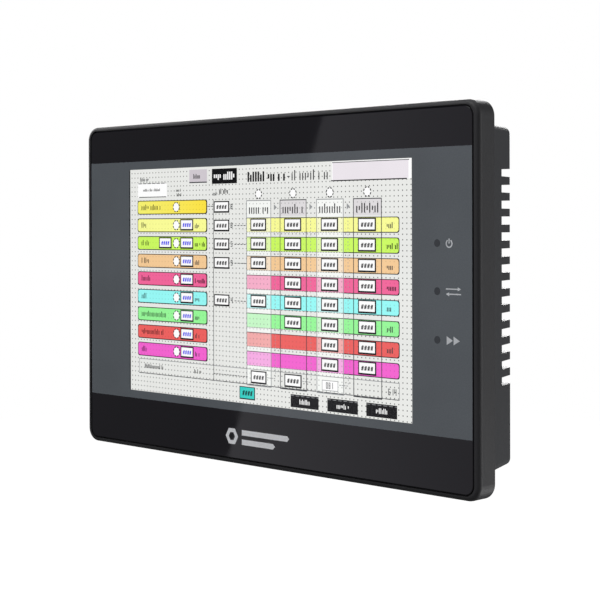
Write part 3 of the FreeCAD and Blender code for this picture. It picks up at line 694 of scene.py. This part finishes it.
    def value(self, x0, x1, y0, y1, ink):
        """A white box with a dark rim and a row of hash signs."""
        self.block(x0, x1, y0, y1, self.white, 3)
        self.frame(x0, x1, y0, y1, 2.4, self.dark, 4, heavy=1.0)
        middle = (y0 + y1) / 2 + 0.3
        self.hashes(x0 + 7, x1 - 7, middle - 4.2, middle + 4.2, ink)

    def lamp(self, x, y, radius=8):
        """A white status lamp with a broken dark rim."""
        self.add(disc(dot_x(x), dot_z(y), radius * DOT, 24), self.white, 4)
        outer, inner = (radius + 2.0) * DOT, (radius - 0.4) * DOT
        for start in range(10, 360, 45):
            self.add(band(dot_x(x), dot_z(y), outer, inner, start, start + 26, 5), self.dark, 5)


# Bars lit in each numeral: top, middle, bottom, then upper left, upper right, lower left, lower right
SEGMENTS = (
    (1, 0, 1, 1, 1, 1, 1),
    (0, 0, 0, 0, 1, 0, 1),
    (1, 1, 1, 0, 1, 1, 0),
    (1, 1, 1, 0, 1, 0, 1),
    (0, 1, 0, 1, 1, 0, 1),
    (1, 1, 1, 1, 0, 0, 1),
    (1, 1, 1, 1, 0, 1, 1),
    (1, 0, 0, 0, 1, 0, 1),
    (1, 1, 1, 1, 1, 1, 1),
    (1, 1, 1, 1, 1, 0, 1),
)


def picture_left(pic):
    """Left half: nine coloured rows with a lamp and a name each, a number box on all but the first, and the
    narrow column of boxes beside them."""
    for row, colour in enumerate(pic.bars):
        top = row_y(row)
        base = top + ROW_HIGH
        pic.plate(24.8, 249.4, top - 1.2, base + 1.6, pic.dark, 1.5)
        pic.plate(26.2, 246.4, top + 0.4, base - 0.2, colour, 2)
        pic.ticks(38, 38 + NAME_WIDTHS[row], top + 7, base - 8, pic.dark, 0.16)
        pic.lamp(152, top + ROW_HIGH / 2, 9)
        pic.drops(163, top + 4, base - 4, pic.line, 2.4, 2)
        if row:
            pic.value(165, 206, top + 1, base - 2, pic.blue)
            wide = 242 if row in DARK_UNITS else 226
            pic.ticks(211, wide, top + 10, base - 7, pic.dark if row in DARK_UNITS else pic.line)
    pic.value(96, 137, row_y(2) + 1, row_y(2) + ROW_HIGH - 2, pic.blue)
    for row in MIDDLE_ROWS:
        middle = row_y(row) + ROW_HIGH / 2 + 1
        pic.value(270, 316, middle - 12, middle + 12, pic.dark)
        pic.digits(319, 327, middle - 6, middle + 5, pic.line, 1, 5)
        if row:
            pic.dashes(331, 366, middle, pic.line)
    pic.dashes(250, 270, row_y(0) + 13, pic.line, 8, 2)
    pic.block(267.4, 268.8, 68, 440, pic.line, 2)


def picture_right(pic):
    """Right half: coloured rows behind four step columns with their numbers."""
    for column, (x0, x1, rows) in enumerate(COLUMNS):
        if column % 2:
            pic.block(x0, x1, 72, 103, pic.shaded, 1.4)
        else:
            pic.block(x0, x1, 72, 442, pic.panel, 1.4)
    for row, (colour, pale) in enumerate(zip(pic.bars, pic.pale)):
        if row:
            step_row(pic, row, colour, pale)
    for column, (x0, x1, rows) in enumerate(COLUMNS):
        tone = pic.line if column % 2 else pic.faint
        pic.frame(x0, x1, 71, 443, 1.8, tone, 3)
        pic.ticks(x0 + 8, x1 - 7, 80, 98, pic.dark, 0.15)
        pic.lamp((x0 + x1) / 2, 59)
        for row in rows:
            pic.value(x0 + 12, x1 - 14, row_y(row) + 0.5, row_y(row) + ROW_HIGH - 1.5, pic.dark)
        if column < 3:
            pic.drops(x1 + 11, 106, 424, pic.faint)
            arrow = ((x1 + 8, 92), (x1 + 16, 86), (x1 + 8, 80))
            pic.add([(dot_x(x), dot_z(y)) for x, y in arrow], pic.faint, 3)
            pic.dashes(x1 - 12, x1 + 11, 424, pic.faint, 4, 2)
    for x0, x1, rows in COLUMNS[:2]:
        pic.value(x0 + 12, x1 - 14, 412, 438, pic.dark)
    pic.block(574, 616, 417, 437, pic.white, 3)
    pic.frame(574, 616, 417, 437, 1.2, pic.faint, 4)
    pic.digits(584, 604, 421, 433, pic.line, 3)
    pic.digits(740, 762, 421, 433, pic.line, 3)


def step_row(pic, row, colour, pale):
    """One coloured row behind the step columns, paler where it runs behind the first and third."""
    top = row_y(row)
    base = top + ROW_HIGH
    pic.block(366, 764, top - 1.3, top + 0.5, pic.dark, 1.8)
    pic.dashes(366, 764, base, pic.dark, 5, 2, 1.8, 2.0)
    pic.block(366, 437, top, base, pale, 2)
    pic.block(437, 560, top, base, colour, 2)
    pic.block(560, 631, top, base, pale, 2)
    pic.plate(631, 768.4, top - 1.3, base + 1.3, pic.dark, 1.9, "right")
    pic.plate(631, 766.4, top + 0.2, base - 0.4, colour, 2, "right")
    if row < 8:
        wide = 765 if row in DARK_UNITS else 755
        pic.ticks(738, wide, top + 9, base - 7, pic.dark if row in DARK_UNITS else pic.line)


def picture_edges(pic):
    """Heading, buttons and the framed bottom row."""
    pic.ticks(34, 62, 18, 26, pic.line)
    pic.block(26, 122, 31, 61, pic.white, 2)
    pic.block(30, 120, 59.4, 61, pic.dark, 3)
    pic.dashes(28, 120, 31, pic.line, 12, 3)
    pic.ticks(44, 100, 42, 48, pic.dark)
    pic.ticks(152, 167, 44, 50, pic.dark)
    pic.ticks(154, 169, 53, 60, pic.dark)
    pic.block(194, 249, 5, 32, pic.button, 2)
    pic.block(194, 249, 30.6, 33, pic.line, 3)
    pic.ticks(207, 232, 14, 24, pic.dark)
    pic.block(264, 339, 5, 36, pic.dark, 2)
    pic.ticks(270, 334, 12, 28, pic.white, 0.22)
    pic.ticks(267, 281, 52, 60, pic.line)
    pic.ticks(286, 314, 46, 57, pic.dark)
    pic.ticks(370, 476, 14, 34, pic.dark, 0.23)
    pic.block(482, 489, 25, 27, pic.line, 5)
    pic.ticks(494, 598, 14, 34, pic.dark, 0.13)
    pic.block(601, 797, 0.5, 37, pic.white, 2)
    pic.block(603, 790, 3, 36, pic.heading, 3)
    pic.block(599, 786, 36, 38.2, pic.dark, 3)
    pic.block(602, 792, 2, 3.4, pic.line, 4)
    pic.frame(29, 768, 409, 441, 1.4, pic.faint, 1.5)
    pic.dashes(29, 768, 440.4, pic.line, 16, 3, 2)
    pic.dashes(268, 372, 426, pic.dark, 5, 3)
    pic.ticks(48, 110, 420, 429, pic.dark)
    pic.ticks(208, 230, 421, 430, pic.dark)
    pic.plate(345, 390, 446, 472, pic.teal, 3)
    pic.frame(345, 390, 446, 472, 1.6, pic.dark, 4, heavy=0.8)
    pic.hashes(353, 383, 454, 464, pic.dark)
    for x0, x1 in ((490, 565), (588, 666), (687, 762)):
        pic.block(x0, x1, 451, 476, pic.dark, 2)
        pic.dashes(x0, x1, 453.5, pic.faint, 9, 5, 3, 1.0)
        pic.ticks(x0 + 24, x1 - 22, 459, 469, pic.white, 0.18)


def lit_picture():
    pic = Picture()
    pic.block(0, DOTS_WIDE, 0, DOTS_HIGH, pic.paper, 1)
    picture_left(pic)
    picture_right(pic)
    picture_edges(pic)
    made = pic.build()


# ---------------------------------------------------------------- print on the overlay and the plate


def overlay_print():
    """Generic marks: a plain badge under the screen, lamp windows and a sign to the right of each lamp."""
    marks = Relief("overlay_marks", OVERLAY_FACE + 0.002 * MM, 0.006 * MM)
    middle = -40.4 * MM
    marks.add(hexagon(-10.4 * MM, middle, 2.5 * MM), SILVER_INK)
    marks.add(hexagon(-10.4 * MM, middle, 1.25 * MM), INK_BLACK, 2)
    half = 0.75 * MM
    for index, length in enumerate((18.4, 13.0)):
        z = middle + (0.5 - index) * 2.6 * MM
        start, tip = -6.4 * MM, (-6.4 + length) * MM
        neck = tip - 0.8 * MM
        bar = [(start, z - half), (neck, z - half), (tip, z), (neck, z + half), (start, z + half)]
        marks.add(bar, SILVER_INK)
    lamp_dark = gloss_plastic("lamp_window", srgb(62, 66, 72), 0.12)
    lamps = [LAMP_TOP, 1.95 * MM, LAMP_BOTTOM]
    for z in lamps:
        marks.add(disc(LAMP_X, z, LAMP_R), lamp_dark)
    power_sign(marks, 66.4 * MM, lamps[0])
    link_sign(marks, 67.7 * MM, lamps[1])
    run_sign(marks, 66.9 * MM, lamps[2])
    made = marks.build()


def plate_print():
    """Blank form printed on the rating plate: a border, ruled fields and a hexagon badge."""
    low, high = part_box("rating_plate")
    print_ink = printed_ink("ink_plate", srgb(38, 40, 46))
    marks = Relief("rating_print", high.y + 0.003 * MM, 0.012 * MM, facing=1)
    margin = 2.2 * MM
    left, right = low.x + margin, high.x - margin
    bottom, top = low.z + margin, high.z - margin
    line = 0.3 * MM
    thin = line * 0.6
    marks.hollow(left, right, bottom, top, line, print_ink)
    badge_x, badge_z = right - 6 * MM, top - 4.6 * MM
    marks.add(hexagon(badge_x, badge_z, 2.9 * MM), print_ink)
    ruled = top - 9.2 * MM
    marks.add(rect(left + line, right - line, ruled - line, ruled), print_ink)
    rows = 4
    step = (ruled - line - bottom) / rows
    for row in range(1, rows):
        z = bottom + row * step
        marks.add(rect(left + line, right - line, z, z + thin), print_ink)
    split = right - 0.36 * (right - left)
    marks.add(rect(split, split + thin, bottom + line, ruled - line), print_ink, 2)
    made = marks.build()


def hexagon(x, z, radius):
    turns = [step * math.pi / 3 for step in range(6)]
    return [(x + radius * math.cos(turn), z + radius * math.sin(turn)) for turn in turns]


def power_sign(marks, x, z):
    """Broken ring with an upright bar."""
    marks.add(band(x, z - 0.1 * MM, 1.05 * MM, 0.72 * MM, 120, 420), LABEL_INK)
    marks.add(rect(x - 0.17 * MM, x + 0.17 * MM, z - 0.1 * MM, z + 1.1 * MM), LABEL_INK)


def link_sign(marks, x, z):
    """Two opposed arrows."""
    for side in (-1, 1):
        level = z + side * 0.62 * MM
        tip, tail = x + side * 2.3 * MM, x - side * 2.3 * MM
        neck = tip - side * 1.0 * MM
        low, high = sorted((tail, neck))
        marks.add(rect(low, high, level - 0.15 * MM, level + 0.15 * MM), LABEL_INK)
        head = [(neck, level - 0.5 * MM), (tip, level), (neck, level + 0.5 * MM)]
        marks.add(head if side > 0 else head[::-1], LABEL_INK)


def run_sign(marks, x, z):
    """Two triangles pointing forward."""
    for step in (0, 1):
        left = x + (step * 2.1 - 1.3) * MM
        marks.add([(left, z - 1.05 * MM), (left + 1.9 * MM, z), (left, z + 1.05 * MM)], LABEL_INK)


# ---------------------------------------------------------------- finishes of the CAD nodes


def paint(material, *nodes):
    """Gives carried-over nodes their finish."""
    for node in nodes:
        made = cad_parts[node]
        if not made.material_slots:
            made.data.materials.append(material)
        for slot in made.material_slots:
            slot.material = material


def finishes():
    steel = srgb(190, 192, 196)
    paint(BEZEL, "front_bezel")
    paint(HOUSING, "rear_cover")
    paint(rubber("seal_rubber", srgb(40, 40, 42)), "panel_gasket")
    paint(rubber("foam", srgb(34, 34, 36)), "screen_seal", "touch_spacer")
    paint(gloss_plastic("clear_film", srgb(196, 202, 205), 0.12), "touch_film", "light_guide", "light_pipes")
    paint(gloss_plastic("tinted_glass", srgb(120, 128, 132), 0.08), "touch_glass", "lcd_cell")
    paint(gloss_plastic("flex_film", srgb(188, 120, 40), 0.3), "touch_tail", "lcd_ribbon")
    paint(sheet_metal("sheet_steel", steel, 0.34), "lcd_frame", "lcd_tray")
    paint(sheet_metal("zinc_steel", srgb(176, 182, 192), 0.38), "lcd_bracket")
    screws = [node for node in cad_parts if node.startswith("clamp_screw")]
    paint(sheet_metal("screw_steel", steel, 0.28), "bracket_screws", "board_screws", *screws)
    paint(sheet_metal("screw_black", srgb(46, 46, 50), 0.36), "cover_screws")
    paint(solder_mask("circuit_board"), "mainboard")
    chips = ("processor", "memory_chips", "interface_chips", "buzzer", "coin_cell_holder", "reset_switch")
    package = moulded_plastic("chip_black", srgb(34, 34, 36), 0.5, 0.12 * MM, 0.005 * MM)
    paint(package, *chips)
    paint(moulded_plastic("ferrite", srgb(62, 62, 66), 0.6, 0.2 * MM), "power_inductors")
    paint(sheet_metal("drawn_can", srgb(205, 206, 208), 0.25), "capacitors", "coin_cell", "clock_crystal")
    paint(gloss_plastic("white_board", srgb(228, 228, 222), 0.4), "backlight_strip", "usb_insert")
    paint(gloss_plastic("ivory_plastic", srgb(220, 214, 196), 0.4), "display_socket", "touch_socket")
    paint(gloss_plastic("lamp_package", srgb(214, 196, 96), 0.3), "indicator_leds")
    paint(sheet_metal("nickel_plate", srgb(206, 202, 194), 0.24), "com1_shell", "com2_shell", "usb_shell")
    paint(sheet_metal("nickel_bar", srgb(200, 198, 192), 0.3), "com1_screwlocks", "com2_screwlocks")
    insulator = moulded_plastic("insulator_black", srgb(30, 30, 32), 0.42, 0.15 * MM, 0.004 * MM)
    paint(insulator, "com1_insulator", "com2_insulator")
    paint(sheet_metal("gold_flash", srgb(214, 176, 92), 0.22), "com1_contacts", "com2_contacts")
    paint(gloss_plastic("dip_body", srgb(176, 34, 28), 0.32), "dip_body")
    paint(gloss_plastic("dip_lever", srgb(236, 236, 230), 0.35), "dip_lever_1", "dip_lever_2")
    paint(gloss_plastic("button_grey", srgb(150, 152, 155), 0.4), "reset_button")
    terminal = moulded_plastic("terminal_green", srgb(30, 128, 66), 0.4, 0.2 * MM, 0.006 * MM)
    paint(terminal, "power_header", "power_plug")
    paint(sheet_metal("tin_plate", srgb(206, 207, 210), 0.3), "power_pins", "plug_contacts")
    cages = [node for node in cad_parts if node.startswith("wire_cage")]
    paint(sheet_metal("cage_brass", srgb(196, 162, 92), 0.3), *cages)
    paint(sheet_metal("satin_plate", srgb(198, 200, 203), 0.42, (40, 900, 900), cloudy=0.03), "rating_plate")


# ---------------------------------------------------------------- studio


def lamp(name, place, target, size, power):
    """A softbox: an area light of this width and height, in metres and watts."""
    light = bpy.data.lights.new(name, "AREA")
    light.shape = "RECTANGLE"
    light.size, light.size_y = size
    light.energy = power
    made = bpy.data.objects.new(name, light)
    bpy.context.scene.collection.objects.link(made)
    made.location = place
    made.rotation_euler = (Vector(target) - Vector(place)).to_track_quat("-Z", "Y").to_euler()
    made.visible_camera = False


def studio():
    """Pale floor, white surroundings for the camera, softboxes, and a card mirrored in the front."""
    scene = bpy.context.scene
    scene.view_settings.view_transform = "Standard"
    world = bpy.data.worlds.new("studio")
    scene.world = world
    world.use_nodes = True
    nodes, links = world.node_tree.nodes, world.node_tree.links
    ambient = nodes["Background"]
    ambient.inputs["Color"].default_value = (1.0, 1.0, 1.0, 1.0)
    ambient.inputs["Strength"].default_value = 0.16
    paper = nodes.new("ShaderNodeBackground")
    paper.inputs["Color"].default_value = (1.0, 1.0, 1.0, 1.0)
    paper.inputs["Strength"].default_value = 1.0
    seen = nodes.new("ShaderNodeLightPath")
    mixed = nodes.new("ShaderNodeMixShader")
    links.new(seen.outputs["Is Camera Ray"], mixed.inputs[0])
    links.new(ambient.outputs[0], mixed.inputs[1])
    links.new(paper.outputs[0], mixed.inputs[2])
    links.new(mixed.outputs[0], nodes["World Output"].inputs["Surface"])
    floor()
    mirrored_card()
    lamp("front", (-0.3, -1.0, 0.9), (0, 0, 0), (0.9, 0.7), 9)
    lamp("top", (-0.1, 0.1, 1.2), (0, 0, 0), (1.4, 1.4), 6)
    lamp("side", (1.1, 0.45, 0.05), (0.05, 0, 0), (0.9, 1.2), 5.2)
    lamp("left", (-1.2, 0.1, 0.4), (-0.07, 0, 0), (0.8, 0.8), 8)
    lamp("back", (-0.8, 1.2, 0.5), (0, 0, 0), (0.8, 0.8), 20)
    lamp("bounce", (0.4, 0.35, -0.38), (0, 0, -0.04), (0.4, 0.3), 1.4)


def staged_sheet(name, corners, material):
    mesh = bpy.data.meshes.new(name)
    mesh.from_pydata(corners, [], [tuple(range(len(corners)))])
    mesh.materials.append(material)
    made = bpy.data.objects.new(name, mesh)
    bpy.context.scene.collection.objects.link(made)
    return made


def floor():
    """White floor below the panel, low enough to leave the views from below free. It lights nothing."""
    size = 3.0
    drop = 0.45
    level = CAD_BOX[0].z - drop
    corners = [(-size, -size, level), (size, -size, level), (size, size, level), (-size, size, level)]
    paper = Shader("floor_paper")
    grain = paper.noise(0.6 * MM, 3.0)
    paper.colour(paper.blend(grain, (0.8, 0.8, 0.8), (0.84, 0.84, 0.84)))
    paper.roughness(paper.span(grain, 0.85, 0.95))
    paper.set(Emission_Color=(1.0, 1.0, 1.0, 1.0), Emission_Strength=0.88)
    made = staged_sheet("floor", corners, paper.material)
    made.visible_glossy = False
    made.visible_diffuse = False


def mirrored_card():
    """A pale card in front of the panel. The glossy front mirrors its slanting edge across the screen."""
    away = -0.8
    eye = Vector(CAMERA_PLACE)
    eye.y = 2 * FRONT_Y - eye.y
    stretch = (away - eye.y) / (FRONT_Y - eye.y)
    high, low = [eye + stretch * (Vector((x, FRONT_Y, z)) - eye) for x, z in CARD_EDGE]
    lean = (high - low) / (high.z - low.z)
    top, bottom = high + lean * 0.5, low - lean * 0.3
    corners = [bottom, bottom + Vector((1.1, 0, 0)), top + Vector((0.9, 0, 0)), top]
    card = Shader("card")
    card.tree.nodes.remove(card.surface)
    fade = card.span(card.axis("X"), 0.68, 0.34, low.x, low.x + 0.4)
    light = card.node("Emission")
    light.inputs["Color"].default_value = (0.96, 0.95, 1.0, 1.0)
    card.link(fade, light.inputs["Strength"])
    card.link(light.outputs[0], card.tree.nodes["Material Output"].inputs["Surface"])
    made = staged_sheet("card", [tuple(corner) for corner in corners], card.material)
    made.visible_camera = False
    made.visible_shadow = False
    made.visible_diffuse = False


def camera():
    """The viewing angle: from the right, a little above the middle."""
    data = bpy.data.cameras.new("camera")
    data.lens = CAMERA_LENS
    data.sensor_width = 36.0
    data.shift_y = CAMERA_SHIFT
    data.clip_start = 0.01
    made = bpy.data.objects.new("camera", data)
    bpy.context.scene.collection.objects.link(made)
    made.location = CAMERA_PLACE
    turn = Matrix.Rotation(math.radians(CAMERA_TURN), 4, "Z")
    turn = turn @ Matrix.Rotation(math.radians(90 - CAMERA_DOWN), 4, "X")
    made.rotation_euler = (turn @ Matrix.Rotation(math.radians(CAMERA_ROLL), 4, "Z")).to_euler()
    bpy.context.scene.camera = made


overlay_sheet()
lit_picture()
overlay_print()
plate_print()
finishes()
studio()
camera()
